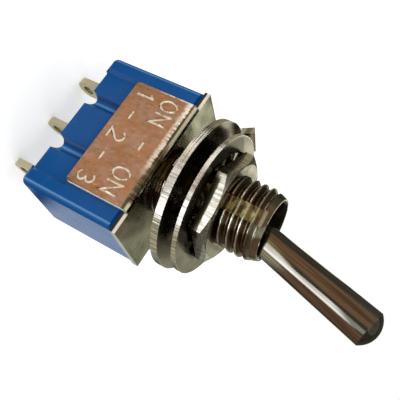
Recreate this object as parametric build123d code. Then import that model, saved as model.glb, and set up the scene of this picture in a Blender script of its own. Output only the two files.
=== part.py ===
"""Mini toggle switch. Millimetres. Z runs out of the panel along the bushing, X along the terminals."""

import os
from math import cos, floor, radians, sin, sqrt, tan

from build123d import *

# case
case_half_x = 6.7
case_half_y = 3.65
case_depth = 8.74
case_corner_r = 0.55
case_recess = 0.35
recess_slope = 0.3
case_end_wall = 1.1
case_side_wall = 0.85
case_floor = 1.72
rib_width = 1.6
foot_width = 1.25
foot_height = 0.16
foot_round = 0.4
ledge_depth = 0.3
ledge_height = 0.22

# grooves and channels between the terminals
groove_width = 1.3
groove_depth = 0.36
channel_width = 1.35
channel_height = 0.6

# frame
sheet = 0.5
plate_overhang = 0.1
plate_side_set = 0.15
flap_half_x = 5.06
flap_out_y = 4.08
flap_drop = 5.76
flap_corner_r = 0.3
bend_inner_r = 0.1

# bushing
thread_r = 3.0
thread_root_r = 2.68
thread_pitch = 0.75
thread_crest = 0.28
thread_flank = 0.17
fastener_bore_r = 2.76
bushing_height = 9.1
bushing_bore_r = 2.15
lead_in = 1.1
end_rim = 0.12
mouth_flare = 0.15
flange_r = 3.5
flange_height = 0.6
flange_flat = 2.9
keyway_width = 1.3
keyway_depth = 0.4
keyway_turn = 10.0

# fasteners
nut_flats = 8.0
nut_height = 1.13
nut_face_r = 3.95
nut_bevel_angle = 30.0
nut_countersink = 0.22
rear_nut_turn = 7.0
rear_nut_gap = 1.1
front_nut_turn = 22.2
panel_gap = 1.04
washer_r = 6.37
washer_sheet = 0.6
washer_hole_r = 3.1
key_width = 1.1
tab_width = 2.6
tab_root = 5.75
tab_length = 1.62
tab_turn = -4.0
tab_angle = 60.0
tab_bend_r = 0.2
lock_r = 6.09
lock_sheet = 0.36
lock_ring_r = 4.35
tooth_reach_r = 3.12
tooth_width = 1.1
tooth_twist = 30.0
tooth_count = 12

# lever
pivot_height = 5.22
throw = 14.5
lever_reach = 14.3
lever_tip_r = 1.435
lever_dome = 0.71
lever_stem_r = 1.24
ball_r = 2.1
ball_flat = 1.6
tail_r = 1.2
tail_length = 3.55
tail_chamfer = 0.2
spring_hole = 2.1

# plunger and its spring
plunger_r = 0.65
plunger_head_r = 0.95
plunger_head = 3.6
plunger_top = 1.8
spring_wire = 0.2
spring_turns = 6

# rocker and contacts
rocker_tilt = 8.0
rocker_sheet = 0.3
rocker_width = 2.6
rocker_end = 0.5
arm_start = 0.45
arm_slope = 1 / 3
contact_set = 0.25
contact_r = 0.55
contact_height = 0.35
contact_dome_r = 2.0
fulcrum_r = 0.2

# terminals
head_end_gap = 0.25
blade_thickness = 0.55
blade_width = 2.1
blade_drop = 3.98
eye_r = 0.5
head_sheet = 0.5
head_half_x = 0.65
head_half_y = 1.7
seal_half_x = 0.95
seal_half_y = 1.6
seal_depth = 0.55

# clearances
running = 0.05
seat_gap = 0.05
flap_gap = 0.1
key_gap = 0.1
contact_gap = 0.02

# heights, counted from the panel's seat on the locating washer
rear_nut_low = -washer_sheet - nut_height
plate_top = rear_nut_low - rear_nut_gap
plate_low = plate_top - sheet
flange_low = plate_low - flange_height
flap_low = plate_top - flap_drop
case_low = plate_low - case_depth
floor_top = case_low + case_floor
head_top = floor_top + head_sheet
fixed_top = head_top + contact_height
bushing_top = plate_top + bushing_height
pivot = plate_top + pivot_height
lock_mid = panel_gap + lock_sheet / 2
tooth_rise = tooth_width / 2 * sin(radians(tooth_twist)) + lock_sheet / 2 * cos(radians(tooth_twist))
front_nut_low = lock_mid + tooth_rise
front_nut_top = front_nut_low + nut_height

# terminals and contacts, placed from the case's ends
pitch = case_half_x - case_end_wall - head_end_gap - head_half_x
contact_x = pitch - contact_set
rocker_reach = contact_x + rocker_end

# the rocker's arms rise by arm_slope from arm_start out to the contacts' inner edges
arm_rise = arm_slope * (contact_x - contact_r - arm_start)

# case and frame sizes that follow
plate_half_x = case_half_x + plate_overhang
plate_half_y = case_half_y - plate_side_set
flap_in_y = flap_out_y - sheet
recess_y = case_half_y - case_recess
recess_half_x = case_half_x - rib_width
cavity_half_x = case_half_x - case_end_wall
cavity_half_y = recess_y - case_side_wall

# the lever's seat in the bushing: a cone that the tilted stem just clears, met by the ball's socket
lean = tan(radians(throw))
stem_half = lever_stem_r / cos(radians(throw)) + running
socket_r = ball_r + running
seat_root = sqrt((1 + lean**2) * socket_r**2 - stem_half**2)
seat_height = (seat_root - lean * stem_half) / (1 + lean**2)
seat_r = seat_height * lean + stem_half
mouth_r = (bushing_top - pivot) * lean + stem_half
mouth_low = bushing_top - mouth_flare
mouth_low_r = (mouth_low - pivot) * lean + stem_half
skirt_r = (pivot - flange_low) * lean + plunger_r / cos(radians(throw)) + 2 * running

# the rocker: a contact's dome, turned down by the tilt, rests on the fixed contact and sets the fulcrum
tilt_sin = sin(radians(rocker_tilt))
tilt_cos = cos(radians(rocker_tilt))
dome_centre = arm_rise - contact_height + contact_dome_r
touch_x = contact_x * tilt_cos + dome_centre * tilt_sin
fulcrum = fixed_top + contact_gap + contact_x * tilt_sin - dome_centre * tilt_cos + contact_dome_r

# the trough's radius keeps the plunger's tip the same small gap away upright and at full throw
tip_hub = pivot - fulcrum - rocker_sheet - contact_gap - plunger_head_r
hub_x = tip_hub * sin(radians(throw))
hub_z = pivot - fulcrum - tip_hub * cos(radians(throw))
near_x = hub_x * tilt_cos - hub_z * tilt_sin
near_z = hub_x * tilt_sin + hub_z * tilt_cos - rocker_sheet
tip_reach = plunger_head_r + contact_gap
trough_r = (near_x**2 + near_z**2 - tip_reach**2) / (2 * (near_z - tip_reach))


def block(x0, x1, y0, y1, z0, z1):
    return Pos((x0 + x1) / 2, (y0 + y1) / 2, (z0 + z1) / 2) * Box(abs(x1 - x0), abs(y1 - y0), z1 - z0)


def post(r, z0, z1, x=0.0):
    return Pos(x, 0, (z0 + z1) / 2) * Cylinder(r, z1 - z0)


def turned(points):
    """A solid of revolution about Z from (radius, height) points."""
    face = make_face(Polyline(*[(r, 0, z) for r, z in points], close=True))
    return revolve(face, Axis.Z)


def prism_z(points, z0, z1):
    face = make_face(Polyline(*[(x, y, z0) for x, y in points], close=True))
    return extrude(face, z1 - z0, dir=(0, 0, 1))


def lever_place(shape):
    return Pos(0, 0, pivot) * Rot(0, throw, 0) * shape


def rocker_place(shape):
    return Pos(0, 0, fulcrum) * Rot(0, -rocker_tilt, 0) * shape


def make_case():
    outline = block(-case_half_x, case_half_x, -case_half_y, case_half_y, case_low - foot_height, plate_low)
    outline = fillet(outline.edges().filter_by(Axis.Z), case_corner_r)
    outline = fillet(outline.faces().sort_by(Axis.Z)[0].edges(), foot_round)
    body = outline & block(-case_half_x, case_half_x, -case_half_y, case_half_y, case_low, plate_low)
    for side in (-1, 1):
        out_y = side * 2 * case_half_y
        seat_low = flap_low - seat_gap
        body -= recess(side, seat_low)
        reach = flap_half_x + flap_gap
        body -= block(-reach, reach, side * flap_in_y, out_y, seat_low, plate_low)
        body -= block(-2 * case_half_x, 2 * case_half_x, side * (case_half_y - ledge_depth), out_y,
                      plate_low - ledge_height, plate_low)
        for x in (-pitch / 2, pitch / 2):
            body -= groove(x, side)
    for x in (-pitch / 2, pitch / 2):
        body -= channel(x)
    body -= block(-cavity_half_x, cavity_half_x, -cavity_half_y, cavity_half_y, floor_top, plate_low)
    body -= flange_pocket()
    body -= bend_relief()
    for x in (-pitch, 0, pitch):
        body -= block(x - blade_thickness / 2 - seat_gap, x + blade_thickness / 2 + seat_gap,
                      -blade_width / 2 - seat_gap, blade_width / 2 + seat_gap, case_low, floor_top)
        body -= seal_block(x)
    for side_x in (-1, 1):
        for side_y in (-1, 1):
            body += foot(outline, side_x, side_y)
    return body


def recess(side, top):
    """The side's sunk middle, whose ends slope out to the ribs."""
    in_x = recess_half_x
    out_x = recess_half_x + 2 * recess_slope
    in_y = side * recess_y
    out_y = side * (recess_y + 2 * case_recess)
    return prism_z([(-in_x, in_y), (in_x, in_y), (out_x, out_y), (-out_x, out_y)], case_low, top)


def hollow_r(width, depth):
    """The radius of a round hollow from its width and depth."""
    return (width**2 / 4 + depth**2) / (2 * depth)


def groove(x, side):
    r = hollow_r(groove_width, groove_depth)
    top = flap_low - seat_gap
    return Pos(x, side * (recess_y - groove_depth + r), (case_low + top) / 2) * Cylinder(r, top - case_low)


def channel(x):
    r = hollow_r(channel_width, channel_height)
    return Pos(x, 0, case_low + channel_height - r) * Rot(90, 0, 0) * Cylinder(r, 2 * case_half_y)


def flange_pocket():
    low = flange_low - seat_gap
    flat = flange_flat + seat_gap
    return post(flange_r + seat_gap, low, plate_low) & block(-plate_half_x, plate_half_x, -flat, flat, low, plate_low)


def bend_relief():
    """Room under the sheet's inside bends along the case's top edges."""
    cut = bend_inner_r + seat_gap
    reach = flap_half_x + flap_gap
    bars = []
    for side in (-1, 1):
        points = [(side * flap_in_y, plate_low), (side * (flap_in_y - cut), plate_low), (side * flap_in_y, plate_low - cut)]
        face = make_face(Polyline(*[(-reach, y, z) for y, z in points], close=True))
        bars.append(extrude(face, 2 * reach, dir=(1, 0, 0)))
    return bars[0] + bars[1]


def foot(outline, side_x, side_y):
    corner = block(side_x * (case_half_x - rib_width), side_x * case_half_x,
                   side_y * (case_half_y - foot_width), side_y * case_half_y,
                   case_low - foot_height, case_low)
    return outline & corner


def seal_block(x):
    return block(x - seal_half_x, x + seal_half_x, -seal_half_y, seal_half_y, case_low, case_low + seal_depth)


def make_frame():
    body = block(-plate_half_x, plate_half_x, -plate_half_y, plate_half_y, plate_low, plate_top)
    fold = block(-flap_half_x, flap_half_x, -flap_out_y, flap_out_y, flap_low, plate_top)
    top_edges = fold.edges().filter_by(Axis.X).group_by(Axis.Z)[-1]
    fold = fillet(top_edges, bend_inner_r + sheet)
    low_edges = fold.edges().filter_by(Axis.Y).group_by(Axis.Z)[0]
    fold = fillet(low_edges, flap_corner_r)
    hollow = block(-flap_half_x, flap_half_x, -flap_in_y, flap_in_y, flap_low, plate_low)
    inner_edges = hollow.edges().filter_by(Axis.X).group_by(Axis.Z)[-1]
    hollow = fillet(inner_edges, bend_inner_r)
    body += fold - hollow
    return body - post(thread_r, plate_low, plate_top)


def ridge(z):
    """One thread ridge in profile, its crest's lower edge at z."""
    return [(thread_root_r, z - thread_flank), (thread_r, z),
            (thread_r, z + thread_crest), (thread_root_r, z + thread_crest + thread_flank)]


def ridges(low, high):
    """As many ridges as fit between two heights, centred."""
    solid = thread_crest + 2 * thread_flank
    count = floor((high - low - solid) / thread_pitch) + 1
    start = (low + high - thread_crest - (count - 1) * thread_pitch) / 2
    points = []
    for n in range(count):
        points += ridge(start + n * thread_pitch)
    return points


def top_ridges():
    """Ridges down from the lead-in's foot to the front nut."""
    last = bushing_top - lead_in - thread_crest
    count = floor((last - thread_flank - front_nut_top) / thread_pitch) + 1
    points = []
    for n in reversed(range(1, count)):
        points += ridge(last - n * thread_pitch)
    return points + ridge(last)[:3]


def make_bushing():
    outer = [(0, flange_low), (flange_r, flange_low), (flange_r, plate_low), (thread_r, plate_low),
             (thread_r, plate_top), (thread_root_r, plate_top)]
    outer += ridges(plate_top, rear_nut_low)
    outer += [(thread_root_r, rear_nut_low), (fastener_bore_r, rear_nut_low),
              (fastener_bore_r, -washer_sheet), (thread_root_r, -washer_sheet)]
    outer += ridges(0, panel_gap)
    outer += [(thread_root_r, front_nut_low), (fastener_bore_r, front_nut_low),
              (fastener_bore_r, front_nut_top), (thread_root_r, front_nut_top)]
    outer += top_ridges()
    outer += [(mouth_r + mouth_flare + end_rim, bushing_top), (0, bushing_top)]
    body = turned(outer)
    floor_y = -(thread_r - keyway_depth)
    slot = block(-keyway_width / 2, keyway_width / 2, 2 * floor_y, floor_y, plate_top, bushing_top)
    body -= Rot(0, 0, keyway_turn) * slot
    for side in (-1, 1):
        body -= block(-flange_r, flange_r, side * flange_flat, side * 2 * flange_r, flange_low, plate_low)
    return body - bushing_bore()


def bushing_bore():
    socket_low = pivot - ball_r - tail_chamfer
    cone = turned([(0, pivot), (seat_r, pivot), (seat_r, pivot + seat_height), (mouth_low_r, mouth_low),
                   (mouth_r + mouth_flare, bushing_top), (0, bushing_top)])
    socket = (Pos(0, 0, pivot) * Sphere(socket_r)) + post(bushing_bore_r, socket_low, pivot)
    flat = ball_flat + running
    socket &= block(-socket_r, socket_r, -flat, flat, socket_low, pivot + seat_height)
    skirt = turned([(0, flange_low), (skirt_r, flange_low), (bushing_bore_r, plate_top), (bushing_bore_r, socket_low),
                    (0, socket_low)])
    return cone + socket + skirt


def make_nut(low, turn, side):
    """A hexagon nut whose bevelled face looks up for side 1 and down for side -1."""
    corner_r = nut_flats / sqrt(3)
    corners = [(corner_r * cos(radians(turn + 60 * k)), corner_r * sin(radians(turn + 60 * k))) for k in range(6)]
    body = prism_z(corners, low, low + nut_height)
    drop = (corner_r - nut_face_r) * tan(radians(nut_bevel_angle))
    seat = low + (1 - side) / 2 * nut_height
    face = low + (1 + side) / 2 * nut_height
    body &= turned([(0, seat), (corner_r, seat), (corner_r, face - side * drop), (nut_face_r, face), (0, face)])
    bore = post(fastener_bore_r, low, low + nut_height)
    for z, inward in ((low, 1), (low + nut_height, -1)):
        bore += turned([(0, z), (fastener_bore_r + nut_countersink, z),
                        (fastener_bore_r, z + inward * nut_countersink), (0, z + inward * nut_countersink)])
    return body - bore


def make_locating_washer():
    low = -washer_sheet
    body = post(washer_r, low, 0)
    body -= Rot(0, 0, tab_turn) * block(-2 * washer_r, -tab_root, -tab_width / 2, tab_width / 2, low, 0)
    body += Rot(0, 0, tab_turn) * tab()
    body -= post(washer_hole_r, low, 0)
    key_y = -(thread_r - keyway_depth + key_gap)
    key = block(-key_width / 2, key_width / 2, key_y, -washer_hole_r - key_gap, low, 0)
    return body + Rot(0, 0, keyway_turn) * key


def tab():
    """The strip that is bent up at the washer's edge, as a profile in XZ swept across its width."""
    turn = radians(tab_angle)
    outer_r = tab_bend_r + washer_sheet
    hub = (-tab_root, tab_bend_r)
    start = tab_root - tab_bend_r
    inner_end = (hub[0] - tab_bend_r * sin(turn), hub[1] - tab_bend_r * cos(turn))
    outer_end = (hub[0] - outer_r * sin(turn), hub[1] - outer_r * cos(turn))
    inner_mid = (hub[0] - tab_bend_r * sin(turn / 2), hub[1] - tab_bend_r * cos(turn / 2))
    outer_mid = (hub[0] - outer_r * sin(turn / 2), hub[1] - outer_r * cos(turn / 2))
    straight = tab_length - outer_r * turn / 2
    run = (-cos(turn) * straight, sin(turn) * straight)
    inner_tip = (inner_end[0] + run[0], inner_end[1] + run[1])
    outer_tip = (outer_end[0] + run[0], outer_end[1] + run[1])
    y = -tab_width / 2
    place = [(p[0], y, p[1]) for p in (hub, inner_mid, inner_end, inner_tip, outer_tip, outer_end, outer_mid)]
    foot_in = (-start, y, 0)
    foot_out = (-start, y, -washer_sheet)
    bend_in = (-tab_root, y, 0)
    bend_out = (-tab_root, y, -washer_sheet)
    edges = [Line(foot_in, bend_in), ThreePointArc(bend_in, place[1], place[2]), Line(place[2], place[3]),
             Line(place[3], place[4]), Line(place[4], place[5]), ThreePointArc(place[5], place[6], bend_out),
             Line(bend_out, foot_out), Line(foot_out, foot_in)]
    return extrude(make_face(edges), tab_width, dir=(0, 1, 0))


def make_lock_washer():
    low = panel_gap
    body = post(lock_r, low, low + lock_sheet) - post(lock_ring_r, low, low + lock_sheet)
    length = lock_ring_r + lock_sheet / 2 - tooth_reach_r
    tooth = Pos(tooth_reach_r + length / 2, 0, lock_mid) * Rot(tooth_twist, 0, 0) * Box(length, tooth_width, lock_sheet)
    for n in range(tooth_count):
        body += Rot(0, 0, 360 / tooth_count * (n + 0.5)) * tooth
    return body


def make_lever():
    mouth = bushing_top - pivot
    shoulder = lever_reach - lever_dome
    tail = turned([(0, -tail_length), (tail_r - tail_chamfer, -tail_length), (tail_r, tail_chamfer - tail_length),
                   (tail_r, 0), (0, 0)])
    stem = turned([(0, 0), (lever_stem_r, 0), (lever_stem_r, mouth), (lever_tip_r, shoulder), (0, shoulder)])
    dome_r = (lever_tip_r**2 + lever_dome**2) / (2 * lever_dome)
    dome = Pos(0, 0, lever_reach - dome_r) * Sphere(dome_r)
    dome &= block(-lever_tip_r, lever_tip_r, -lever_tip_r, lever_tip_r, shoulder, lever_reach)
    ball = Sphere(ball_r) & block(-ball_r, ball_r, -ball_flat, ball_flat, -ball_r, ball_r)
    body = tail + ball + stem + dome
    body -= post(plunger_r + running, -tail_length, spring_hole)
    return lever_place(body)


def make_plunger():
    tip = fulcrum + rocker_sheet + contact_gap - pivot
    hub = tip + plunger_head_r
    head_top_z = tip + plunger_head
    edge = plunger_head_r - plunger_r
    body = post(plunger_r, hub, -plunger_top) + post(plunger_head_r, hub, head_top_z - edge)
    body += turned([(0, head_top_z - edge), (plunger_head_r, head_top_z - edge), (plunger_r, head_top_z), (0, head_top_z)])
    body += Pos(0, 0, hub) * Sphere(plunger_head_r)
    return lever_place(body)


def make_spring():
    coil_r = plunger_r - spring_wire / 2
    low = -plunger_top + spring_wire / 2 + seat_gap
    height = spring_hole - spring_wire / 2 - seat_gap - low
    path = Pos(0, 0, low) * Helix(pitch=height / spring_turns, height=height, radius=coil_r)
    start = Plane(origin=path @ 0, z_dir=path % 0)
    return lever_place(sweep(start * Rectangle(spring_wire, spring_wire), path=path))


def make_rocker():
    """A sprung strip in the shape of a shallow trough with a level arm at each end."""
    back_r = trough_r + rocker_sheet
    top_x = sqrt(trough_r**2 - (trough_r - arm_rise) ** 2)
    low_x = sqrt(back_r**2 - (back_r - arm_rise) ** 2)
    y = -rocker_width / 2
    top_z = arm_rise + rocker_sheet
    edges = [ThreePointArc((-top_x, y, top_z), (0, y, rocker_sheet), (top_x, y, top_z)),
             Line((top_x, y, top_z), (rocker_reach, y, top_z)),
             Line((rocker_reach, y, top_z), (rocker_reach, y, arm_rise)),
             Line((rocker_reach, y, arm_rise), (low_x, y, arm_rise)),
             ThreePointArc((low_x, y, arm_rise), (0, y, 0), (-low_x, y, arm_rise)),
             Line((-low_x, y, arm_rise), (-rocker_reach, y, arm_rise)),
             Line((-rocker_reach, y, arm_rise), (-rocker_reach, y, top_z)),
             Line((-rocker_reach, y, top_z), (-top_x, y, top_z))]
    return rocker_place(extrude(make_face(edges), rocker_width, dir=(0, 1, 0)))


def make_rocker_contact(side):
    x = side * contact_x
    button = post(contact_r, arm_rise - contact_height, arm_rise, x)
    button &= Pos(x, 0, dome_centre) * Sphere(contact_dome_r)
    return rocker_place(button)


def make_fixed_contact(side):
    return post(contact_r, head_top, fixed_top, side * touch_x)


def make_terminal(x):
    eye_z = case_low - blade_drop + blade_width / 2
    body = block(x - blade_thickness / 2, x + blade_thickness / 2, -blade_width / 2, blade_width / 2, eye_z, head_top)
    body += Pos(x, 0, eye_z) * Rot(0, 90, 0) * Cylinder(blade_width / 2, blade_thickness)
    body -= Pos(x, 0, eye_z) * Rot(0, 90, 0) * Cylinder(eye_r, blade_thickness)
    body += block(x - head_half_x, x + head_half_x, -head_half_y, head_half_y, floor_top, head_top)
    return body


def make_centre_terminal():
    body = make_terminal(0)
    edge_z = fulcrum - fulcrum_r
    half = rocker_width / 2
    body += Pos(0, 0, edge_z) * Rot(90, 0, 0) * Cylinder(fulcrum_r, rocker_width)
    body += block(-fulcrum_r, fulcrum_r, -half, half, floor_top, edge_z)
    return body


def make_seal(x):
    blade = block(x - blade_thickness / 2, x + blade_thickness / 2, -blade_width / 2, blade_width / 2,
                  case_low, case_low + seal_depth)
    return seal_block(x) - blade


def main():
    os.makedirs("parts", exist_ok=True)
    pieces = {
        "case": make_case(),
        "frame": make_frame(),
        "bushing": make_bushing(),
        "rear_nut": make_nut(rear_nut_low, rear_nut_turn, -1),
        "locating_washer": make_locating_washer(),
        "lock_washer": make_lock_washer(),
        "front_nut": make_nut(front_nut_low, front_nut_turn, 1),
        "lever": make_lever(),
        "plunger": make_plunger(),
        "plunger_spring": make_spring(),
        "rocker": make_rocker(),
        "left_rocker_contact": make_rocker_contact(-1),
        "right_rocker_contact": make_rocker_contact(1),
        "left_fixed_contact": make_fixed_contact(-1),
        "right_fixed_contact": make_fixed_contact(1),
        "left_terminal": make_terminal(-pitch),
        "centre_terminal": make_centre_terminal(),
        "right_terminal": make_terminal(pitch),
        "left_seal": make_seal(-pitch),
        "centre_seal": make_seal(0),
        "right_seal": make_seal(pitch),
    }
    for node, shape in pieces.items():
        solids = shape.solids()
        print(f"{node}: {len(solids)} solid, {shape.volume:.3f} mm3")
        export_step(shape, f"parts/{node}.step")


main()
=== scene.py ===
import bmesh
import bpy
import numpy as np
from mathutils import Matrix, Vector


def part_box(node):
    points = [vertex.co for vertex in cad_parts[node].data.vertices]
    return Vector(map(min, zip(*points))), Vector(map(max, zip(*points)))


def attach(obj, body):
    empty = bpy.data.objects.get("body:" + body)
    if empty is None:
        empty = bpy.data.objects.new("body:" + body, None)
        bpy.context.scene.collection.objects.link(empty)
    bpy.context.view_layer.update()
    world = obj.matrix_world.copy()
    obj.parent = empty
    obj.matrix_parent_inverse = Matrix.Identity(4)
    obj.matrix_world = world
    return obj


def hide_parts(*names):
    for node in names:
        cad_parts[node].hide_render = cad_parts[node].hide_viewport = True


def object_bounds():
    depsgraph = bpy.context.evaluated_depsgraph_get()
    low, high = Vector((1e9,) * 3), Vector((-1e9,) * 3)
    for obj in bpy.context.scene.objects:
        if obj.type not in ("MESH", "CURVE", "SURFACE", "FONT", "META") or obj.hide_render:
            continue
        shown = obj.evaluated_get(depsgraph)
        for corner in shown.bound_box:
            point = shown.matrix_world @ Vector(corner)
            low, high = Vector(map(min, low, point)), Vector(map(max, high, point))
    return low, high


mm = 0.001

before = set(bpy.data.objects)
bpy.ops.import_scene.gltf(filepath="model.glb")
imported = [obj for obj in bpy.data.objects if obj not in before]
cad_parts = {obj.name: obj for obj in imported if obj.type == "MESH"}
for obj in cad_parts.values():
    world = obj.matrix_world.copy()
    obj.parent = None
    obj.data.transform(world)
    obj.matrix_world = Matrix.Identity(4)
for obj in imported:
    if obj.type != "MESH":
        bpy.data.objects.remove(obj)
cadBox = [list(corner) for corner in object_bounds()]
print("frame loaded:", len(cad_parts), "nodes")


class Value:
    # a socket that can be added and multiplied like a number; each operation adds one Math node
    def __init__(self, net, socket):
        self.net = net
        self.socket = socket

    def __add__(self, other):
        return self.net.math("ADD", self, other)

    def __radd__(self, other):
        return self.net.math("ADD", other, self)

    def __sub__(self, other):
        return self.net.math("SUBTRACT", self, other)

    def __rsub__(self, other):
        return self.net.math("SUBTRACT", other, self)

    def __mul__(self, other):
        return self.net.math("MULTIPLY", self, other)

    def __rmul__(self, other):
        return self.net.math("MULTIPLY", other, self)

    def __truediv__(self, other):
        return self.net.math("DIVIDE", self, other)

    def __rtruediv__(self, other):
        return self.net.math("DIVIDE", other, self)

    def __neg__(self):
        return self.net.math("MULTIPLY", self, -1.0)

    def __abs__(self):
        return self.net.math("ABSOLUTE", self)


class Net:
    # the nodes of one material or of the world
    def __init__(self, tree):
        self.tree = tree
        tree.nodes.clear()

    def node(self, kind, settings=None, **values):
        # a value goes by its socket's name, with _ for a space, or by i and the socket's number
        made = self.tree.nodes.new(kind)
        for name, setting in (settings or {}).items():
            setattr(made, name, setting)
        for name, value in values.items():
            key = int(name[1:]) if name[1:].isdigit() else name.replace("_", " ")
            self.put(made.inputs[key], value)
        return made

    def put(self, target, value):
        if isinstance(value, Value):
            self.tree.links.new(value.socket, target)
        elif isinstance(value, bpy.types.NodeSocket):
            self.tree.links.new(value, target)
        elif isinstance(value, tuple) and len(value) == 3 and len(target.default_value) == 4:
            target.default_value = (*value, 1.0)
        else:
            target.default_value = value

    def math(self, operation, first, second=0.0):
        made = self.node("ShaderNodeMath", {"operation": operation}, i0=first, i1=second)
        return Value(self, made.outputs[0])

    def most(self, first, second):
        return self.math("MAXIMUM", first, second)

    def smooth(self, value, low, high):
        # 0 below low, 1 above high, an S curve between
        curve = {"interpolation_type": "SMOOTHSTEP"}
        made = self.node("ShaderNodeMapRange", curve, i0=value, i1=low, i2=high)
        return Value(self, made.outputs[0])

    def band(self, value, rise, fall):
        # rises from 0 to 1 between the two bounds of rise, and goes back to 0 between those of fall
        return self.smooth(value, *rise) * (1.0 - self.smooth(value, *fall))

    def mix(self, share, first, second):
        made = self.node("ShaderNodeMix", {"data_type": "RGBA"}, i0=share, i6=first, i7=second)
        return made.outputs[2]

    def parts(self, vector):
        made = self.node("ShaderNodeSeparateXYZ", Vector=vector)
        return [Value(self, made.outputs[k]) for k in range(3)]

    def spot(self):
        return self.node("ShaderNodeTexCoord").outputs["Object"]

    def place(self):
        # Object coordinates as three values, in metres
        return self.parts(self.spot())

    def noise(self, vector, scale, detail, rough=0.5):
        # noise from 0 to 1, with a scale along each axis
        moved = self.node("ShaderNodeMapping", Vector=vector, Scale=scale)
        made = self.node("ShaderNodeTexNoise", Vector=moved.outputs[0], Scale=1.0, Detail=detail,
                         Roughness=rough)
        return Value(self, made.outputs[0])

    def grain(self, scale, stretch=(1.0, 1.0, 1.0), detail=2.0, rough=0.5):
        # noise on Object coordinates, drawn out along an axis where its stretch factor is small
        return self.noise(self.spot(), tuple(scale * factor for factor in stretch), detail, rough)

    def bump(self, height, distance, strength=1.0):
        made = self.node("ShaderNodeBump", Height=height, Distance=distance, Strength=strength)
        return made.outputs[0]

    def finish(self, shader, kind="ShaderNodeOutputMaterial"):
        self.tree.links.new(shader.outputs[0], self.tree.nodes.new(kind).inputs[0])

    def surface(self, **values):
        self.finish(self.node("ShaderNodeBsdfPrincipled", **values))


def newMaterial(name):
    material = bpy.data.materials.new(name)
    material.use_nodes = True
    return material, Net(material.node_tree)


def dress(node, material):
    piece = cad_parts[node]
    piece.data.materials.clear()
    piece.data.materials.append(material)


def boxOf(node):
    # lowest and highest corner of a CAD node as numpy arrays
    low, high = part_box(node)
    return np.array(low), np.array(high)


shading = {"sharpAngle": 32.0, "square": 0.99999}

def addPiece(name, mesh, body, material, slot, *nodes):
    # a finished mesh that rides on a body and stands for CAD nodes
    mesh.shade_smooth()
    mesh.set_sharp_from_angle(angle=np.radians(shading["sharpAngle"]))
    # a face that is square to an axis is a true plane, so its shade takes nothing from the bends beside it
    normals = np.empty(len(mesh.polygons) * 3)
    mesh.polygons.foreach_get("normal", normals)
    plane = np.abs(normals.reshape(-1, 3)).max(axis=1) > shading["square"]
    mesh.polygons.foreach_set("use_smooth", ~plane)
    piece = bpy.data.objects.new(name, mesh)
    bpy.context.collection.objects.link(piece)
    mesh.materials.clear()
    mesh.materials.append(material)
    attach(piece, body)
    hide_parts(*nodes)


def gridMesh(name, rows, joined=False, capped=False):
    # quads between neighbours of a (rows, columns, 3) array whose columns run right round; joined closes
    # the last row to the first, capped fills the two end rows with a flat face each
    count, wide = rows.shape[:2]
    i, j = np.meshgrid(np.arange(count if joined else count - 1), np.arange(wide), indexing="ij")
    below, beside = (i + 1) % count, (j + 1) % wide
    quads = np.stack([i * wide + j, i * wide + beside, below * wide + beside, below * wide + j], axis=-1)
    faces = quads.reshape(-1, 4).tolist()
    if capped:
        ring = np.arange(wide)
        faces += [ring[::-1].tolist(), (ring + (count - 1) * wide).tolist()]
    mesh = bpy.data.meshes.new(name)
    mesh.from_pydata(rows.reshape(-1, 3).tolist(), [], faces)
    return mesh


def mergedCopy(node):
    # a CAD node's triangles with their doubled corners joined
    work = bmesh.new()
    work.from_mesh(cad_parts[node].data)
    bmesh.ops.remove_doubles(work, verts=work.verts, dist=0.0005 * mm)
    mesh = bpy.data.meshes.new(node + "Copy")
    work.to_mesh(mesh)
    work.free()
    return mesh


# a row of marks: its text, its height along Z and how far its ends lie from the middle
stamp = {"radius": 0.14 * mm, "lift": 0.045 * mm, "sides": 8, "mitre": 0.35, "height": 1.45 * mm,
         "width": 0.95 * mm,
         "rows": (("ON - ON", -4.95 * mm, 4.0 * mm), ("1 - 2 - 3", -7.3 * mm, 4.1 * mm))}

def arc(x, z, across, tall, first, last, count=14):
    # points on an ellipse: centre + (across * cos t, tall * sin t), t between two angles in degrees
    t = np.radians(np.linspace(first, last, count))
    return np.column_stack([x + across * np.cos(t), z + tall * np.sin(t)])


# each mark's stroke in units of its width and height, from its own centre
strokes = {
    "O": arc(0.0, 0.0, 0.5, 0.5, 90.0, 430.0, 26),
    "N": np.array([(-0.5, -0.5), (-0.5, 0.5), (0.5, -0.5), (0.5, 0.5)]),
    "-": np.array([(-0.4, 0.0), (0.4, 0.0)]),
    "1": np.array([(-0.25, 0.3), (0.05, 0.5), (0.05, -0.5)]),
    "2": np.vstack([arc(0.0, 0.22, 0.42, 0.28, 160.0, -40.0), [(-0.45, -0.5), (0.45, -0.5)]]),
    "3": np.vstack([arc(0.0, 0.25, 0.38, 0.25, 150.0, -80.0), arc(0.0, -0.25, 0.42, 0.25, 80.0, -150.0)]),
}

def strokeTube(line, y):
    # a closed tube along a line in the plane y: line + radius * (sideways * cos t, depth * sin t), where
    # sideways is at right angles to the line and grows at its corners, so that the tube stays as wide there
    step = np.diff(line, axis=0)
    step /= np.linalg.norm(step, axis=1)[:, None]
    along = np.vstack([step[:1], step[:-1] + step[1:], step[-1:]])
    along /= np.linalg.norm(along, axis=1)[:, None]
    mitre = 1.0 / np.clip((along * np.vstack([step[:1], step])).sum(axis=1), stamp["mitre"], 1.0)
    side = np.column_stack([-along[:, 1], along[:, 0]]) * mitre[:, None]
    t = -(np.arange(stamp["sides"]) + 0.5) * 2 * np.pi / stamp["sides"]
    x, z = (line[:, k, None] + stamp["radius"] * side[:, k, None] * np.cos(t) for k in range(2))
    depth = y + stamp["radius"] * np.sin(t) + 0 * x
    return gridMesh("stroke", np.stack([x, depth, z], axis=-1), capped=True)


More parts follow.
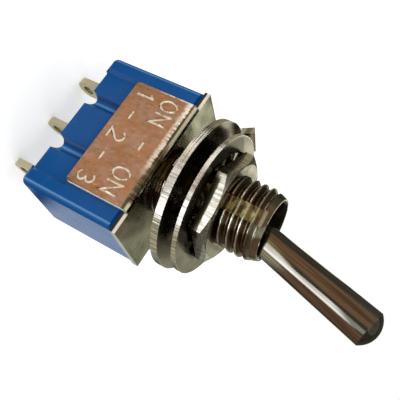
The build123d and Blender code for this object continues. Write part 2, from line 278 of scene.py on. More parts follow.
def markLines(text, z, spread):
    # one line for each mark of a row, at places spread evenly from end to end
    places = np.linspace(-spread, spread, len(text))
    return [strokes[mark] * (stamp["width"], stamp["height"]) + (x, z)
            for mark, x in zip(text, places) if mark != " "]


def stampedFrame(material):
    # the bent frame with generic marks pressed into its front flap
    front = boxOf("frame")[0][1] - stamp["lift"]
    piece = bpy.data.objects.new("framePlain", mergedCopy("frame"))
    cutter = bpy.data.objects.new("strokes", bpy.data.meshes.new("strokes"))
    for item in (piece, cutter):
        bpy.context.collection.objects.link(item)
    work = bmesh.new()
    for row in stamp["rows"]:
        for line in markLines(*row):
            tube = strokeTube(line, front)
            work.from_mesh(tube)
            bpy.data.meshes.remove(tube)
    work.to_mesh(cutter.data)
    work.free()
    cut = piece.modifiers.new("stamp", "BOOLEAN")
    cut.operation = "DIFFERENCE"
    cut.object = cutter
    cut.solver = "EXACT"
    cut.use_self = True
    bpy.context.view_layer.update()
    shown = piece.evaluated_get(bpy.context.evaluated_depsgraph_get())
    mesh = bpy.data.meshes.new_from_object(shown)
    for item in (piece, cutter):
        bpy.data.objects.remove(item)
    addPiece("stampedFrame", mesh, "switch", material, "sheet_metal", "frame")


# radii are crest, root, plain, ball, flange and stem; columns go round the axis, rows along it
thread = {"crest": 3.0 * mm, "root": 2.66 * mm, "plain": 2.75 * mm, "pitch": 0.75 * mm,
          "crestShare": 0.12, "rootShare": 0.14, "step": 0.03 * mm,
          "leadIn": 1.1 * mm, "rim": 0.12 * mm, "flare": 0.15 * mm, "mouth": 0.4 * mm,
          "slotTurn": -80.0, "slotHalf": 0.65 * mm, "slotFloor": 2.6 * mm, "slotRipple": 0.05 * mm,
          "throw": 14.5, "stem": 1.24 * mm, "gap": 0.05 * mm, "pivotUp": 5.22 * mm, "seatUp": 1.3438 * mm,
          "ball": 2.15 * mm, "skirt": 0.25 * mm, "flange": 3.5 * mm, "sheet": 0.5 * mm,
          "boreRows": 6, "floorColumns": 9, "roundColumns": 176, "firstTurn": 15.5}

def threadForm(phase):
    # 1 on the crest, 0 in the root, straight flanks between, from the share of one turn
    away = np.abs((phase + 0.5) % 1.0 - 0.5)
    crest, root = thread["crestShare"] / 2, 0.5 - thread["rootShare"] / 2
    return np.clip((root - away) / (root - crest), 0.0, 1.0)


def bushingProfile():
    # (height, radius, threaded, slotted) up the outside and back down the bore, closed; threaded is 1 on
    # the thread and 2 on the lead-in, and the bore's radius grows with the height over the lever's pivot
    bottom, top = (corner[2] for corner in boxOf("bushing"))
    plateTop = boxOf("frame")[1][2]
    plateLow = plateTop - thread["sheet"]
    rearNutLow = boxOf("rear_nut")[0][2]
    frontNutLow, frontNutTop = (corner[2] for corner in boxOf("front_nut"))
    foot = top - thread["leadIn"]
    pivot = plateTop + thread["pivotUp"]
    throw = np.radians(thread["throw"])

    def boreAt(z):
        return (z - pivot) * np.tan(throw) + thread["stem"] / np.cos(throw) + thread["gap"]

    rim = boreAt(top) + thread["flare"] + thread["rim"]
    rows = [(bottom, thread["flange"], 0, 0), (plateLow, thread["flange"], 0, 0),
            (plateLow, thread["crest"], 0, 0), (plateTop, thread["crest"], 0, 0)]
    # plain lengths under the nuts and under the locating washer, whose outer face is at height 0
    for start, end, threaded in ((plateTop, rearNutLow, 1), (rearNutLow, 0.0, 0), (0.0, frontNutLow, 1),
                                 (frontNutLow, frontNutTop, 0), (frontNutTop, foot, 1)):
        count = max(2, int(round((end - start) / thread["step"]))) if threaded else 2
        rows += [(z, thread["plain"], threaded, 1) for z in np.linspace(start, end, count)]
    lead = np.linspace(0.0, 1.0, int(thread["leadIn"] / thread["step"]) + 1)[1:]
    rows += [(foot + share * (top - foot), thread["crest"] + share * (rim - thread["crest"]), 2, 1)
             for share in lead]
    rows += [(top, rim - thread["rim"], 0, 1), (top - thread["flare"], boreAt(top - thread["flare"]), 0, 0)]
    rows += [(z, boreAt(z), 0, 0)
             for z in np.linspace(top - thread["mouth"], pivot + thread["seatUp"], thread["boreRows"])]
    rows += [(pivot, thread["ball"], 0, 0), (plateTop, thread["ball"], 0, 0),
             (bottom, thread["ball"] + thread["skirt"], 0, 0)]
    return np.array(rows)


def threadedBushing(material):
    # one closed skin: on the thread, radius = root + (crest - root) * form(height / pitch - angle / turn);
    # on the lead-in the thread fades into a cone; the keyway's floor lies at a fixed distance from the axis
    z, base, threaded, slotted = (column[:, None] for column in bushingProfile().T)
    half, floorR = thread["slotHalf"], thread["slotFloor"]
    slotted = slotted > 0
    floorTurns = np.arctan2(np.linspace(-half, half, thread["floorColumns"]), floorR)
    roundTurns = np.radians(np.linspace(thread["firstTurn"], 360.0 - thread["firstTurn"],
                                        thread["roundColumns"]))
    edgeTurn = np.arcsin(half / thread["crest"])
    angle = np.hstack([floorTurns, edgeTurn, roundTurns, -edgeTurn])
    column = np.arange(angle.size)
    form = threadForm(z / thread["pitch"] - angle / (2 * np.pi))
    threadR = thread["root"] + (thread["crest"] - thread["root"]) * form
    fade = np.clip((z.max() - z) / thread["leadIn"], 0.0, 1.0)
    leadR = np.minimum(base, threadR + (base - threadR) * (1.0 - fade) ** 2)
    radius = np.where(threaded == 1, threadR, np.where(threaded == 2, leadR, base))
    # in the slot the radius is cut to its flat floor, where a trace of the thread is left
    ripple = thread["slotRipple"] * (form - 0.5) * (threaded > 0)
    cut = np.minimum(radius, floorR / np.cos(angle) + ripple)
    radius = np.where((column < thread["floorColumns"]) & slotted, cut, radius)
    # the slot's edge columns slide along its straight walls as the radius changes
    edge = np.arcsin(np.clip(half / radius, -1.0, 1.0))
    angle = np.where((column == thread["floorColumns"]) & slotted, edge, angle + 0 * z)
    angle = np.where((column == column[-1]) & slotted, -edge, angle)
    turn = angle + np.radians(thread["slotTurn"])
    points = np.stack([radius * np.cos(turn), radius * np.sin(turn), z + 0 * radius], axis=-1)
    mesh = gridMesh("threadedBushing", points, joined=True)
    addPiece("threadedBushing", mesh, "switch", material, "plated_metal", "bushing")


# wall and foot bound the painted shade across a groove, from its middle towards +x, and the key after them
# is where the groove's painted highlight line lies; flow and fine are scales of noise, in patches to the
# metre, as in the other finishes
plastic = {"colour": (0.0008, 0.086, 0.305), "deep": (0.0006, 0.066, 0.235), "roughness": 0.20,
           "gloss": 0.27, "grain": 0.004 * mm, "paintedHighlight": (0.15, 0.36, 0.62), "paintedShade": (0.0004, 0.030, 0.120),
           "flow": 700.0, "fine": 9000.0,
           "grooveX": 2.35 * mm, "cornerX": 6.33 * mm, "grooveTop": 0.38 * mm, "grooveSunk": 0.44 * mm,
           "wall": ((-0.66 * mm, -0.56 * mm), (-0.26 * mm, -0.12 * mm)),
           "foot": ((0.30 * mm, 0.38 * mm), (0.52 * mm, 0.62 * mm)), "highlightAt": 0.13 * mm}

def bluePlastic():
    # moulded blue plastic with a faint flow pattern; each groove of the long sides has painted shade on its
    # wall nearer -x, a painted highlight line past its middle and fainter painted shade again, and painted
    # highlights on the corners
    material, net = newMaterial("blueMouldedPlastic")
    flow = net.grain(plastic["flow"], detail=3.0)
    fine = net.grain(plastic["fine"])
    x, y, _ = net.place()
    half = boxOf("case")[1][1]
    across = (abs(x) - plastic["grooveX"]) * net.math("SIGN", x)
    sunk = 1.0 - net.smooth(abs(y), half - plastic["grooveSunk"], half - plastic["grooveTop"])
    # painted shade on the groove's wall nearer -x, and fainter past its middle
    paintedShade = (net.band(across, *plastic["wall"]) + 0.6 * net.band(across, *plastic["foot"])) * sunk
    # painted highlights: a line along each groove and a stripe down each rounded end corner
    line = (1.0 - net.smooth(abs(across - plastic["highlightAt"]), 0.05 * mm, 0.18 * mm)) * sunk
    corner = 1.0 - net.smooth(abs(abs(x) - plastic["cornerX"]), 0.03 * mm, 0.12 * mm)
    corner = corner * net.smooth(abs(y), half - 0.2 * mm, half - 0.1 * mm)
    shade = net.mix(flow, plastic["deep"], plastic["colour"])
    shade = net.mix(paintedShade * 0.55, shade, plastic["paintedShade"])
    shade = net.mix((line + corner) * (0.35 + 0.35 * flow), shade, plastic["paintedHighlight"])
    net.surface(Base_Color=shade, Roughness=plastic["roughness"] + 0.12 * flow,
                Specular_IOR_Level=plastic["gloss"], Normal=net.bump(fine, plastic["grain"], 0.6))
    return material


# bend, sheet and flapHalf are the cover's own sizes; plateIn is how far its cut edge lies inside the
# case's side; the pairs of lengths are bounds along X, or along Z from the bend's foot
sheetMetal = {"plain": (0.46, 0.45, 0.37), "dull": (0.24, 0.24, 0.17), "copper": (0.64, 0.37, 0.22),
              "rose": (0.66, 0.47, 0.38), "speck": (0.40, 0.33, 0.18), "cream": (0.97, 0.89, 0.74),
              "straw": (0.96, 0.93, 0.64), "white": (0.97, 0.96, 0.93), "floor": (0.28, 0.22, 0.13),
              "tornAndShade": (0.03, 0.028, 0.02), "roughness": 0.14, "scratch": 0.008 * mm, "dome": 0.16 * mm,
              "streaks": 5200.0, "cloud": 650.0, "specks": 3800.0,
              "bend": 0.6 * mm, "sheet": 0.5 * mm, "flapHalf": 5.06 * mm, "plateIn": 0.17 * mm,
              "highlightZ": ((-0.40 * mm, -0.12 * mm), (0.10 * mm, 0.16 * mm)), "highlightX": (-2.6 * mm, -0.5 * mm),
              "upperZ": ((0.24 * mm, 0.40 * mm), (0.50 * mm, 0.53 * mm)),
              "upperGap": ((-1.6 * mm, 0.2 * mm), (4.0 * mm, 4.6 * mm)), "rimZ": (-3.4 * mm, -1.8 * mm)}

def sheetFinish():
    # rolled sheet: streaks across its bends, copper showing on the flaps, and painted highlights on its
    # bend, its pressed strokes and its cut edges; where a painted highlight lies the sheet is paler and less
    # metallic, so that it scatters the lamps' light, as the highlight share says
    material, net = newMaterial("satinSheet")
    x, y, z = net.place()
    high = boxOf("frame")[1]
    half = sheetMetal["flapHalf"]
    streaks = net.grain(sheetMetal["streaks"], (1.0, 0.12, 0.12), detail=3.0, rough=0.6)
    cloud = net.grain(sheetMetal["cloud"], detail=4.0, rough=0.6)
    specks = net.grain(sheetMetal["specks"], (1.0, 1.0, 0.5), detail=3.0)
    patches = net.smooth(specks, 0.35, 0.5)
    up = z - (high[2] - sheetMetal["bend"])
    # copper and rose in clouds on the flaps, with pale and dark specks; plain metal elsewhere
    flap = net.smooth(abs(y), high[1] - 0.2 * mm, high[1] - 0.1 * mm)
    flap = flap * (1.0 - net.smooth(up, -0.04 * mm, 0.1 * mm))
    warm = net.mix(net.smooth(cloud, 0.35, 0.65), sheetMetal["copper"], sheetMetal["rose"])
    warm = net.mix(net.smooth(specks, 0.60, 0.75) * 0.45, warm, sheetMetal["cream"])
    warm = net.mix(net.smooth(-specks, -0.50, -0.34) * 0.55, warm, sheetMetal["speck"])
    plain = net.mix(net.smooth(cloud, 0.3, 0.7), sheetMetal["dull"], sheetMetal["plain"])
    tint = net.mix(flap, plain, warm)
    # the pressed strokes carry a painted highlight in cream, and painted shade on their walls that face -x
    outer = net.smooth(abs(y), high[1] - 0.06 * mm, high[1] - 0.01 * mm)
    pressed = flap * (1.0 - outer) * net.smooth(-up, 0.05 * mm, 0.2 * mm) * (0.5 + 0.5 * patches)
    facing = net.parts(net.node("ShaderNodeNewGeometry").outputs["Normal"])
    shaded = net.smooth(-facing[0], 0.12, 0.35)
    tint = net.mix(pressed, tint, net.mix(shaded, sheetMetal["cream"], sheetMetal["floor"]))
    # short streaks lie across the bend, and at its foot the flap carries a ragged painted highlight over the
    # half at -x
    nearFlap = net.smooth(abs(y), high[1] - 0.6 * mm, high[1] - 0.5 * mm)
    inBend = net.smooth(up, 0.0, 0.1 * mm) * nearFlap
    tint = net.mix(net.smooth(streaks, 0.5, 0.6) * inBend * 0.5, tint, sheetMetal["cream"])
    paintedHighlight = net.band(up - (streaks - 0.5) * 0.7 * mm, *sheetMetal["highlightZ"])
    paintedHighlight = paintedHighlight * net.smooth(-x, *sheetMetal["highlightX"]) * (0.4 + 0.6 * net.smooth(streaks, 0.38, 0.5))
    # a painted highlight runs along the flap's sheared edge at -x, over its upper part
    rim = outer * net.smooth(-x, half - 0.16 * mm, half - 0.08 * mm)
    rim = rim * net.smooth(up, *sheetMetal["rimZ"]) * (0.3 + 0.7 * patches)
    highlightShare = net.most(paintedHighlight * outer, rim)
    tint = net.mix(highlightShare, tint, sheetMetal["cream"])
    # a second painted highlight, a pale line, lies higher in the bend, over the half at -x and for a short
    # way at the other end
    start, end = sheetMetal["upperGap"]
    gap = net.smooth(x + (streaks - 0.5) * 3.0 * mm, *start) * (1.0 - net.smooth(x, *end))
    upper = net.band(up, *sheetMetal["upperZ"]) * nearFlap * (1.0 - gap)
    upper = upper * net.smooth(-abs(x), -half, -half + 0.1 * mm)
    tint = net.mix(upper, tint, sheetMetal["straw"])
    # the plate's cut edges are cream where they sheared, a painted highlight on their burnished band, and
    # near black where they tore, painted shade over their dull torn band
    side = boxOf("case")[1][1] - sheetMetal["plateIn"]
    edge = net.band(abs(y), (side, side + 0.01 * mm), (side + 0.03 * mm, side + 0.04 * mm))
    edge = edge * net.smooth(abs(x), half, half + 0.03 * mm)
    tint = net.mix(edge, tint, sheetMetal["cream"])
    down = high[2] - z
    tornAndShade = net.smooth(down, 0.24 * mm, 0.3 * mm) * net.smooth(-down, -0.52 * mm, -0.5 * mm)
    tint = net.mix(edge * tornAndShade, tint, sheetMetal["tornAndShade"])
    # the plate's end faces are greyed over that lower band, painted shade as well
    plateEnd = net.smooth(abs(x), high[0] - 0.03 * mm, high[0] - 0.01 * mm)
    tint = net.mix(plateEnd * tornAndShade, tint, sheetMetal["dull"])
    # a flap's sheared sides carry a painted highlight in white and are domed: height = -(distance from the
    # sheet's middle)^2, scaled
    middle = sheetMetal["sheet"] / 2
    across = (abs(y) - (high[1] - middle)) * (1.0 / middle)
    cheek = net.smooth(abs(x), half - 0.02 * mm, half - 0.01 * mm)
    cheek = cheek * net.smooth(-abs(x), -half - 0.02 * mm, -half - 0.01 * mm)
    cheek = cheek * net.smooth(abs(y), high[1] - 0.47 * mm, high[1] - 0.45 * mm)
    tint = net.mix(cheek, tint, sheetMetal["white"])
    for part in (upper, edge, pressed * (1.0 - shaded), cheek):
        highlightShare = net.most(highlightShare, part)
    height = (streaks + specks * flap) * sheetMetal["scratch"] - cheek * across * across * sheetMetal["dome"]
    net.surface(Base_Color=tint, Metallic=1.0 - 0.6 * highlightShare,
                Roughness=sheetMetal["roughness"] + 0.1 * cloud, Normal=net.bump(height, 1.0))
    return material


# side is the radius past which a nut's facets begin; the next key is the direction about Z of the facet with
# painted shade, and the last how far up its height that painted shade reaches
plating = {"colour": (0.47, 0.45, 0.39), "dull": (0.30, 0.28, 0.22), "bright": (0.96, 0.94, 0.90),
           "paintedDark": (0.10, 0.09, 0.06), "tab": (0.15, 0.15, 0.10), "tabTip": (0.34, 0.27, 0.18),
           "roughness": 0.13, "cloud": 700.0, "fine": 5600.0, "drawn": 0.008 * mm,
           "side": (3.96 * mm, 4.0 * mm), "shadeTurn": -60.0, "shadeLevel": 0.42}

def turned(x, y, degrees):
    # distance along a direction about Z, and distance across it
    away = np.radians(degrees)
    along, beside = float(np.cos(away)), float(np.sin(away))
    return x * along + y * beside, y * along - x * beside


def plateFinish(name, node, facetShade=0.0):
    # nickel over machined metal, a little dull in patches; the last argument is how strongly painted shade
    # darkens the lower part of one facet
    material, net = newMaterial(name)
    cloud = net.grain(plating["cloud"], detail=4.0)
    fine = net.grain(plating["fine"], (1.0, 1.0, 0.15), detail=3.0)
    x, y, z = net.place()
    low, high = boxOf(node)
    radius = net.math("SQRT", x * x + y * y)
    side = net.smooth(radius, *plating["side"])
    tint = net.mix(net.smooth(cloud, 0.35, 0.7), plating["colour"], plating["dull"])
    drawn = net.mix(net.smooth(fine, 0.3, 0.6), plating["colour"], plating["bright"])
    tint = net.mix(side, tint, drawn)
    # painted shade: the lower part of one facet is darkened up to a ragged line
    facing = net.smooth(turned(x, y, plating["shadeTurn"])[0] / radius, 0.80, 0.86)
    line = low[2] + plating["shadeLevel"] * (high[2] - low[2]) + (cloud - 0.5) * 0.3 * mm
    behind = facing * side * net.smooth(line - z, -0.05 * mm, 0.05 * mm) * facetShade
    tint = net.mix(behind, tint, plating["paintedDark"])
    net.surface(Base_Color=tint, Metallic=1.0, Roughness=plating["roughness"] + 0.1 * cloud,
                Normal=net.bump(fine, plating["drawn"], 0.6))
    return material


# rimTop is where the ridged rim ends over the washer's foot; painted shade darkens the face out to the next
# radius, and further at -y; tabFrom is the height and the radius past which the tab stands, tip is where its
# brown end starts
washers = {"rimTop": (0.62 * mm, 0.68 * mm), "shadeTo": 4.4 * mm, "shadeMore": 1.2 * mm, "shadeFade": 0.4 * mm,
           "tabFrom": ((0.25 * mm, 0.4 * mm), (5.7 * mm, 5.8 * mm)), "tip": (-0.45 * mm, -0.3 * mm),
           "cloud": 480.0, "ridges": 6200.0, "lines": 8000.0, "ridge": 0.03 * mm}

def washerFinish(name, node, centre=(0.0, 0.0), trim=0.0):
    # blanked washer: bright rim with fine ridges across its thickness, and lines along it
    material, net = newMaterial(name)
    x, y, z = net.place()
    x, y = x - centre[0], y - centre[1]
    low, high = boxOf(node)
    rim = high[1] - trim
    radius = net.math("SQRT", x * x + y * y)
    edge = net.smooth(radius, rim - 0.08 * mm, rim - 0.03 * mm)
    edge = edge * (1.0 - net.smooth(z - low[2], *washers["rimTop"]))
    cloud = net.grain(washers["cloud"], detail=4.0, rough=0.6)
    ridges = net.grain(washers["ridges"], (1.0, 1.0, 0.08), detail=2.0)
    lines = net.grain(washers["lines"], (0.03, 0.03, 1.0), detail=1.0)
    across = net.smooth(x, -1.0 * mm, 2.0 * mm)
    relief = ridges * (0.25 + 0.75 * across) + lines * (1.0 - across)
    tint = net.mix(net.smooth(cloud, 0.35, 0.65), plating["dull"], plating["colour"])
    # painted shade over the washer's face inside a radius, reaching further at -y, under the nut
    reach = washers["shadeTo"] + washers["shadeMore"] * net.smooth(-y, 1.0 * mm, 3.5 * mm)
    tint = net.mix(net.smooth(radius, reach, reach + washers["shadeFade"]), plating["paintedDark"], tint)
    bright = net.mix(net.smooth(relief, 0.35, 0.62), plating["colour"], plating["bright"])
    tint = net.mix(edge, tint, bright)
    if node == "locating_washer":
        # the bent-up tab is darker, and browner at its tip
        above, outside = washers["tabFrom"]
        upright = net.smooth(z, *above) * net.smooth(radius, *outside)
        tip = net.smooth(z + (lines - 0.5) * 0.2 * mm - high[2], *washers["tip"])
        tint = net.mix(upright, tint, net.mix(tip, plating["tab"], plating["tabTip"]))
    net.surface(Base_Color=tint, Metallic=1.0, Roughness=plating["roughness"] + 0.05 + 0.1 * cloud,
                Normal=net.bump(relief * edge + cloud * 0.05, washers["ridge"], 0.7))
    return material


washerPlace = {"shift": (0.14 * mm, 0.07 * mm), "trim": 0.15 * mm, "from": 4.45 * mm, "to": 5.2 * mm}

def hungWasher(material):
    # the lock washer with its rim a little smaller and off centre: each point moves by share * (shift -
    # trim outwards), where share rises from 0 to 1 with the radius
    mesh = mergedCopy("lock_washer")
    points = np.empty(len(mesh.vertices) * 3)
    mesh.vertices.foreach_get("co", points)
    points = points.reshape(-1, 3)
    radius = np.hypot(points[:, 0], points[:, 1])[:, None]
    share = (radius - washerPlace["from"]) / (washerPlace["to"] - washerPlace["from"])
    move = np.array(washerPlace["shift"]) - washerPlace["trim"] * points[:, :2] / radius
    points[:, :2] += np.clip(share, 0.0, 1.0) * move
    mesh.vertices.foreach_set("co", points.ravel())
    mesh.update()
    addPiece("offsetLockWasher", mesh, "switch", material, "plated_metal", "lock_washer")


# boreR is where the bore's painted shade ends; slotZ is where the keyway's yellow-green starts, markZ where
# its marks do
threadPlate = {"crest": (0.97, 0.92, 0.80), "root": (0.16, 0.12, 0.075), "slot": (0.62, 0.66, 0.34),
               "slotDull": (0.20, 0.18, 0.09), "mark": (0.97, 0.86, 0.78), "lead": (0.40, 0.37, 0.28),
               "bore": (0.05, 0.045, 0.035), "boreR": (2.49 * mm, 2.52 * mm), "slotR": (2.5 * mm, 2.52 * mm),
               "slotZ": (2.0 * mm, 2.5 * mm), "markZ": (7.0 * mm, 8.0 * mm), "roughness": 0.16,
               "cloud": 1500.0, "fine": 7000.0, "grain": 0.005 * mm}

def threadFinish():
    # crests and top rim carry a painted highlight, roots are brown with old oil and painted shade, the
    # keyway is yellow-green, and the bore carries painted shade
    material, net = newMaterial("nickelThread")
    x, y, z = net.place()
    top = boxOf("bushing")[1][2]
    radius = net.math("SQRT", x * x + y * y)
    cloud = net.grain(threadPlate["cloud"], detail=3.0)
    fine = net.grain(threadPlate["fine"], detail=3.0)
    # painted highlight on the crests, brown painted shade with old oil in the roots
    crest = net.smooth(radius, thread["crest"] - 0.07 * mm, thread["crest"] - 0.015 * mm)
    tint = net.mix(crest, threadPlate["root"], threadPlate["crest"])
    depth, across = turned(x, y, thread["slotTurn"])
    half, floorR = thread["slotHalf"], thread["slotFloor"]
    slot = net.smooth(-abs(across), -half, -half + 0.03 * mm) * net.smooth(depth, *threadPlate["slotR"])
    slot = slot * net.smooth(z, *threadPlate["slotZ"])
    inSlot = net.mix(net.smooth(cloud, 0.42, 0.6), threadPlate["slotDull"], threadPlate["slot"])
    # the thread's trace on the keyway's floor carries the crests' painted highlight
    trace = net.smooth(depth, floorR + 0.012 * mm, floorR + 0.03 * mm)
    inSlot = net.mix(trace, inSlot, threadPlate["crest"])
    marks = net.smooth(fine, 0.58, 0.64) * net.smooth(z, *threadPlate["markZ"])
    inSlot = net.mix(marks, inSlot, threadPlate["mark"])
    tint = net.mix(slot, tint, inSlot)
    tint = net.mix(net.smooth(z, top - 1.0 * mm, top - 0.6 * mm), tint, threadPlate["lead"])
    # painted highlight on the top rim
    rim = net.smooth(z, top - 0.03 * mm, top - 0.01 * mm)
    tint = net.mix(rim, tint, plating["bright"])
    # painted shade down the bore
    bore = (1.0 - net.smooth(radius, *threadPlate["boreR"])) * (1.0 - rim)
    tint = net.mix(bore, tint, threadPlate["bore"])
    tint = net.mix(net.smooth(cloud, 0.5, 0.8) * 0.5, tint, plating["dull"])
    net.surface(Base_Color=tint, Metallic=1.0, Roughness=threadPlate["roughness"] + 0.12 * cloud,
                Normal=net.bump(fine, threadPlate["grain"], 0.6))
    return material


# tilt is the lever's lean at rest; domeAt is its shoulder's height once it is turned upright about Y
chrome = {"colour": (0.58, 0.56, 0.52), "dull": (0.30, 0.27, 0.23), "end": (0.13, 0.115, 0.095),
          "roughness": 0.07, "lines": (4200.0, 4200.0, 160.0), "cloud": 520.0, "depth": 0.006 * mm,
          "tilt": 14.5, "domeAt": 15.9 * mm}

def leverFinish():
    # turned and plated bar with faint drawn lines along it, and a dome painted darker, a painted dark
    # reflection
    material, net = newMaterial("chromeLever")
    lean = (0.0, np.radians(-chrome["tilt"]), 0.0)
    upright = net.node("ShaderNodeVectorRotate", {"rotation_type": "EULER_XYZ"}, Vector=net.spot(),
                       Rotation=lean).outputs[0]
    drawn = net.noise(upright, chrome["lines"], 4.0)
    cloud = net.grain(chrome["cloud"], detail=3.0)
    tint = net.mix(net.smooth(drawn, 0.35, 0.7), chrome["colour"], chrome["dull"])
    # painted dark reflection on the dome
    dome = net.smooth(net.parts(upright)[2], chrome["domeAt"] - 0.05 * mm, chrome["domeAt"] + 0.1 * mm)
    tint = net.mix(dome * 0.8, tint, chrome["end"])
    net.surface(Base_Color=tint, Metallic=1.0, Roughness=chrome["roughness"] + 0.08 * cloud,
                Normal=net.bump(drawn, chrome["depth"], 0.5))
    return material


# the last bounds are how far below the case's underside the brown starts, and where it is full
tinning = {"colour": (0.50, 0.45, 0.28), "browning": (0.22, 0.17, 0.085), "roughness": 0.34,
           "browningAt": (-1.6 * mm, -0.1 * mm), "cloud": 1100.0, "grain": 0.02 * mm}

def terminalFinish():
    # tinned brass, browner towards the case and in patches
    material, net = newMaterial("dullTin")
    cloud = net.grain(tinning["cloud"], detail=4.0, rough=0.6)
    up = net.place()[2] - boxOf("case")[0][2]
    browning = net.smooth(up + (cloud - 0.5) * 1.5 * mm, *tinning["browningAt"])
    tint = net.mix(browning, tinning["colour"], tinning["browning"])
    tint = net.mix(net.smooth(cloud, 0.55, 0.75) * 0.4, tint, tinning["browning"])
    net.surface(Base_Color=tint, Metallic=1.0, Roughness=tinning["roughness"] + 0.15 * cloud,
                Normal=net.bump(cloud, tinning["grain"], 0.6))
    return material


inside = {
    "castResin": {"colour": (0.03, 0.06, 0.05), "roughness": 0.4, "metallic": 0.0,
                  "nodes": ("left_seal", "centre_seal", "right_seal")},
    "silverRivet": {"colour": (0.82, 0.81, 0.78), "roughness": 0.25, "metallic": 1.0,
                    "nodes": ("left_rocker_contact", "right_rocker_contact", "left_fixed_contact",
                              "right_fixed_contact")},
    "springBrass": {"colour": (0.68, 0.50, 0.22), "roughness": 0.3, "metallic": 1.0, "nodes": ("rocker",)},
    "naturalNylon": {"colour": (0.78, 0.77, 0.72), "roughness": 0.5, "metallic": 0.0, "nodes": ("plunger",)},
    "springWire": {"colour": (0.45, 0.45, 0.46), "roughness": 0.3, "metallic": 1.0,
                   "nodes": ("plunger_spring",)},
}

def insideFinish(name, colour, roughness, metallic):
    # one tint with soft darker patches and a fine grain
    material, net = newMaterial(name)
    cloud = net.grain(900.0, detail=3.0)
    tint = net.mix(cloud * 0.4, colour, tuple(0.7 * part for part in colour))
    net.surface(Base_Color=tint, Metallic=metallic, Roughness=roughness + 0.1 * cloud,
                Normal=net.bump(cloud, 0.01 * mm, 0.4))
    return material


dress("case", bluePlastic())
stampedFrame(sheetFinish())
threadedBushing(threadFinish())
dress("rear_nut", plateFinish("nickelRearNut", "rear_nut"))
dress("front_nut", plateFinish("nickelFrontNut", "front_nut", 1.0))
dress("locating_washer", washerFinish("nickelWasher", "locating_washer"))
hungWasher(washerFinish("nickelLockWasher", "lock_washer", washerPlace["shift"], washerPlace["trim"]))
dress("lever", leverFinish())
tin = terminalFinish()
for node in ("left_terminal", "centre_terminal", "right_terminal"):
    dress(node, tin)
for name, look in inside.items():
    material = insideFinish(name, look["colour"], look["roughness"], look["metallic"])
    for node in look["nodes"]:
        dress(node, material)
print("finishes done")


# skirt and band are radii of the surroundings, lift is their height over the floor
stage = {"floor": cadBox[0][2] - 0.1 * mm, "floorHalf": 1.2, "floorShade": 0.9, "floorGlow": 0.35,
         "band": 24 * mm, "skirt": 8.5 * mm, "bandTop": 60 * mm, "lift": 0.05 * mm, "columns": 96,
         "foot": (0.035, 0.032, 0.024), "sky": (0.11, 0.10, 0.075), "skyFrom": -0.4, "skyTo": 1.8,
         "soft": 0.05}

def floorSheet():
    # a pale sheet that keeps the switch's shadow and glows a little where the camera or its gloss sees it
    half, level = stage["floorHalf"], stage["floor"]
    mesh = bpy.data.meshes.new("floor")
    corners = [(-half, -half, level), (half, -half, level), (half, half, level), (-half, half, level)]
    mesh.from_pydata(corners, [], [(0, 1, 2, 3)])
    floor = bpy.data.objects.new("floor", mesh)
    bpy.context.collection.objects.link(floor)
    material, net = newMaterial("paleFloor")
    path = net.node("ShaderNodeLightPath")
    seen = net.most(path.outputs["Is Camera Ray"], path.outputs["Is Glossy Ray"])
    seen = net.most(seen, path.outputs["Is Transmission Ray"])
    diffuse = net.node("ShaderNodeBsdfDiffuse", Color=(stage["floorShade"],) * 3)
    glow = net.node("ShaderNodeEmission", Color=(1.0, 1.0, 1.0), Strength=seen * stage["floorGlow"])
    net.finish(net.node("ShaderNodeAddShader", i0=diffuse.outputs[0], i1=glow.outputs[0]))
    mesh.materials.append(material)


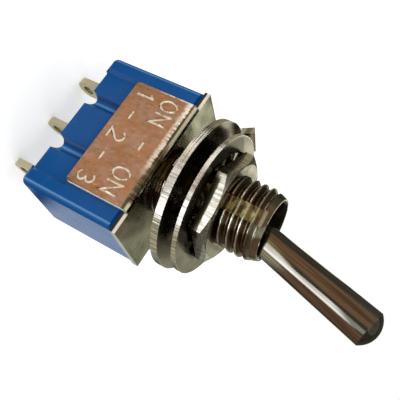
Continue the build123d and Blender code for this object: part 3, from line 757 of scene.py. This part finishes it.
# soft panels round the switch that only its gloss shows: centre and half width in degrees about Z, and the
# lowest and highest height over the band's radius
panels = [
    {"turn": -108.0, "half": 38.0, "edge": 5.0, "low": -0.25, "high": 1.15, "colour": (0.22, 0.13, 0.075)},
    {"turn": -90.0, "half": 10.0, "edge": 4.0, "low": -0.12, "high": 0.04, "colour": (0.32, 0.29, 0.14)},
    {"turn": -105.0, "half": 22.0, "edge": 4.0, "low": -0.80, "high": -0.43, "colour": (0.60, 0.45, 0.34)},
    {"turn": -84.0, "half": 9.0, "edge": 2.0, "low": -0.42, "high": -0.35, "colour": (1.35, 1.25, 1.45)},
    {"turn": -122.0, "half": 7.0, "edge": 2.0, "low": -0.45, "high": -0.37, "colour": (1.35, 1.28, 1.15)},
    {"turn": -99.0, "half": 51.0, "edge": 3.0, "low": -0.33, "high": -0.25, "colour": (1.20, 1.14, 0.98)},
    {"turn": -128.0, "half": 22.0, "edge": 4.0, "low": -0.27, "high": -0.12, "colour": (1.05, 1.00, 0.88)},
    {"turn": -38.0, "half": 15.0, "edge": 2.0, "low": -0.80, "high": 0.27, "colour": (1.7, 1.7, 1.7)},
    {"turn": -40.0, "half": 10.0, "edge": 5.0, "low": 0.30, "high": 0.90, "colour": (0.44, 0.45, 0.38)},
    {"turn": -60.0, "half": 12.0, "edge": 2.0, "low": -0.26, "high": -0.15, "colour": (1.7, 1.7, 1.7)},
    {"turn": -66.0, "half": 12.0, "edge": 3.0, "low": -0.15, "high": -0.03, "colour": (1.2, 1.15, 1.0)},
    {"turn": 12.0, "half": 32.0, "edge": 5.0, "low": -0.60, "high": 0.75, "colour": (0.19, 0.11, 0.075)},
    {"turn": 10.0, "half": 32.0, "edge": 3.0, "low": -0.42, "high": -0.17, "colour": (0.42, 0.40, 0.28)},
    {"turn": 46.0, "half": 13.0, "edge": 4.0, "low": -0.34, "high": -0.10, "colour": (0.24, 0.26, 0.20)},
    {"turn": 56.0, "half": 15.0, "edge": 4.0, "low": -0.80, "high": -0.40, "colour": (0.72, 0.78, 0.84)},
    {"turn": 122.0, "half": 15.0, "edge": 3.0, "low": 0.22, "high": 0.50, "colour": (1.15, 1.12, 0.90)},
    {"turn": 84.0, "half": 17.0, "edge": 5.0, "low": 0.08, "high": 0.60, "colour": (0.45, 0.44, 0.33)},
    {"turn": 113.0, "half": 36.0, "edge": 6.0, "low": -0.80, "high": 0.00, "colour": (0.62, 0.59, 0.53)},
    {"turn": 168.0, "half": 12.0, "edge": 4.0, "low": -0.40, "high": 0.02, "colour": (0.30, 0.26, 0.16)},
    {"turn": -171.0, "half": 9.0, "edge": 4.0, "low": -0.40, "high": 0.02, "colour": (0.30, 0.26, 0.16)},
]

def surroundings():
    # a band round the switch whose glow is a function of the angle about Z and of the height over the radius
    turns = np.linspace(0.0, 2 * np.pi, stage["columns"], endpoint=False)
    low = stage["floor"] + stage["lift"]
    rings = [(stage["skirt"], low), (stage["band"], low), (stage["band"], stage["bandTop"])]
    radius, height = np.array(rings).T
    x, y = (radius[:, None] * side for side in (np.cos(turns), np.sin(turns)))
    mesh = gridMesh("surroundings", np.stack([x, y, height[:, None] + 0 * x], axis=-1))
    band = bpy.data.objects.new("surroundings", mesh)
    bpy.context.collection.objects.link(band)
    material, net = newMaterial("softPanels")
    x, y, z = net.place()
    angle = net.math("ARCTAN2", y, x) * (180 / np.pi)
    level = z / stage["band"]
    colour = net.mix(net.smooth(level, stage["skyFrom"], stage["skyTo"]), stage["foot"], stage["sky"])
    streaks = net.node("ShaderNodeTexNoise", {"noise_dimensions": "1D"}, W=angle * 0.4, Scale=1.0,
                       Detail=3.0)
    fall = 0.55 + 0.9 * net.smooth(streaks.outputs[0], 0.3, 0.7)
    soft = stage["soft"]
    for panel in panels:
        half, edge, low, high = (panel[key] for key in ("half", "edge", "low", "high"))
        across = 1.0 - net.smooth(abs(angle - panel["turn"]), half - edge, half + edge)
        upright = net.band(level, (low - soft, low + soft), (high - soft, high + soft))
        colour = net.mix(across * upright, colour, panel["colour"])
    net.finish(net.node("ShaderNodeEmission", Color=colour, Strength=fall))
    mesh.materials.append(material)
    band.visible_camera = False
    band.visible_diffuse = False
    band.visible_shadow = False
    band.visible_transmission = False


sky = {"light": (0.75, 0.75, 0.75), "seen": (1.0, 1.0, 1.0), "inGloss": (0.27, 0.26, 0.22)}

def skyLight():
    # plain light on the switch, white behind it, and a dim sky in its gloss
    world = bpy.data.worlds.new("studio")
    bpy.context.scene.world = world
    world.use_nodes = True
    net = Net(world.node_tree)
    path = net.node("ShaderNodeLightPath")
    colour = net.mix(path.outputs["Is Camera Ray"], sky["light"], sky["seen"])
    colour = net.mix(path.outputs["Is Glossy Ray"], colour, sky["inGloss"])
    net.finish(net.node("ShaderNodeBackground", Color=colour, Strength=1.0), "ShaderNodeOutputWorld")


# places and sizes in mm, power in watts
lamps = [
    {"name": "keyLamp", "place": (60, -110, 120), "size": 70, "power": 0.075},
    {"name": "fillLamp", "place": (-140, -60, 60), "size": 90, "power": 0.03},
    {"name": "backLamp", "place": (80, 120, 60), "size": 80, "power": 0.03},
]

def addLamps():
    for lamp in lamps:
        data = bpy.data.lights.new(lamp["name"], "AREA")
        data.size = lamp["size"] * mm
        data.energy = lamp["power"]
        piece = bpy.data.objects.new(lamp["name"], data)
        bpy.context.collection.objects.link(piece)
        piece.location = Vector(lamp["place"]) * mm
        piece.rotation_euler = (-piece.location).to_track_quat("-Z", "Y").to_euler()


# place, lens and sensor in mm
view = {"place": (14.46, -39.83, 15.335), "forward": (-0.3136, 0.8858, -0.3421),
        "up": (-0.7965, -0.4415, -0.4132), "lens": 50.9, "sensor": 36.0, "near": 0.002, "far": 10.0}

def addCamera():
    data = bpy.data.cameras.new("camera")
    camera = bpy.data.objects.new("camera", data)
    bpy.context.collection.objects.link(camera)
    back = -Vector(view["forward"]).normalized()
    right = Vector(view["up"]).cross(back).normalized()
    turn = Matrix((right, back.cross(right), back)).transposed().to_4x4()
    camera.matrix_world = Matrix.Translation(Vector(view["place"]) * mm) @ turn
    data.lens = view["lens"]
    data.sensor_width = view["sensor"]
    data.clip_start = view["near"]
    data.clip_end = view["far"]
    bpy.context.scene.camera = camera


floorSheet()
surroundings()
skyLight()
addLamps()
addCamera()
bpy.context.scene.view_settings.view_transform = "Standard"
print("stage done")
